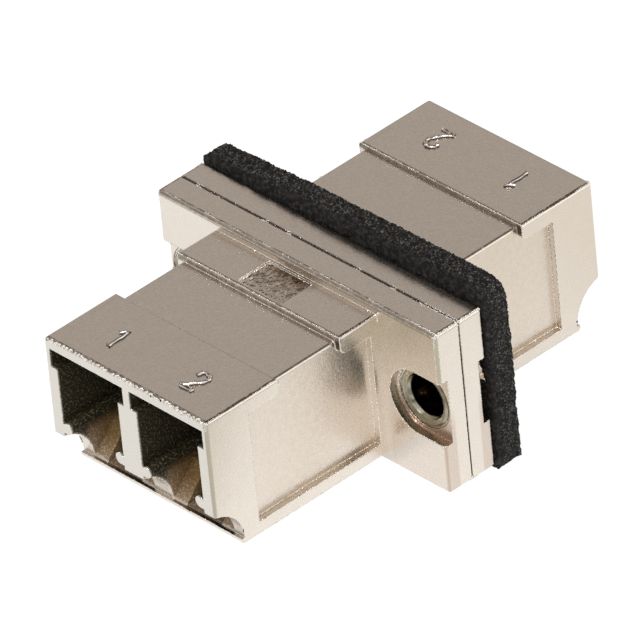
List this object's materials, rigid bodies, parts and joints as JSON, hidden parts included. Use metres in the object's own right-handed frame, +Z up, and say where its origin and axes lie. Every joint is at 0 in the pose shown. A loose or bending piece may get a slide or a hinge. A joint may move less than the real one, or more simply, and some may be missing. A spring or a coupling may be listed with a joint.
{
  "type": "lc fibre adapter",
  "caption": "Duplex LC fibre-optic adapter in a die-cast metal housing, with a screw flange, a foam panel gasket and split alignment sleeves",
  "frame": {"origin": "midway between the two fixing holes, on the plane where the half housings meet", "axes": "+X along the flange, +Y along the fibres towards the panel side, +Z up"},
  "size_m": [0.0221, 0.0292, 0.0117],
  "materials": {
    "housing": "nickel-plated zinc casting, satin",
    "gasket": "dark foam rubber",
    "eyelet": "nickel-plated brass, smooth",
    "sleeve": "white zirconia ceramic",
    "holder": "turned brass"
  },
  "bodies": {
    "root": {"front_housing": "housing", "rear_housing": "housing", "panel_gasket": "gasket", "left_eyelet": "eyelet", "right_eyelet": "eyelet", "split_sleeve_a": "sleeve", "split_sleeve_b": "sleeve", "front_sleeve_holder_a": "holder", "front_sleeve_holder_b": "holder", "rear_sleeve_holder_a": "holder", "rear_sleeve_holder_b": "holder"}
  },
  "joints": []
}
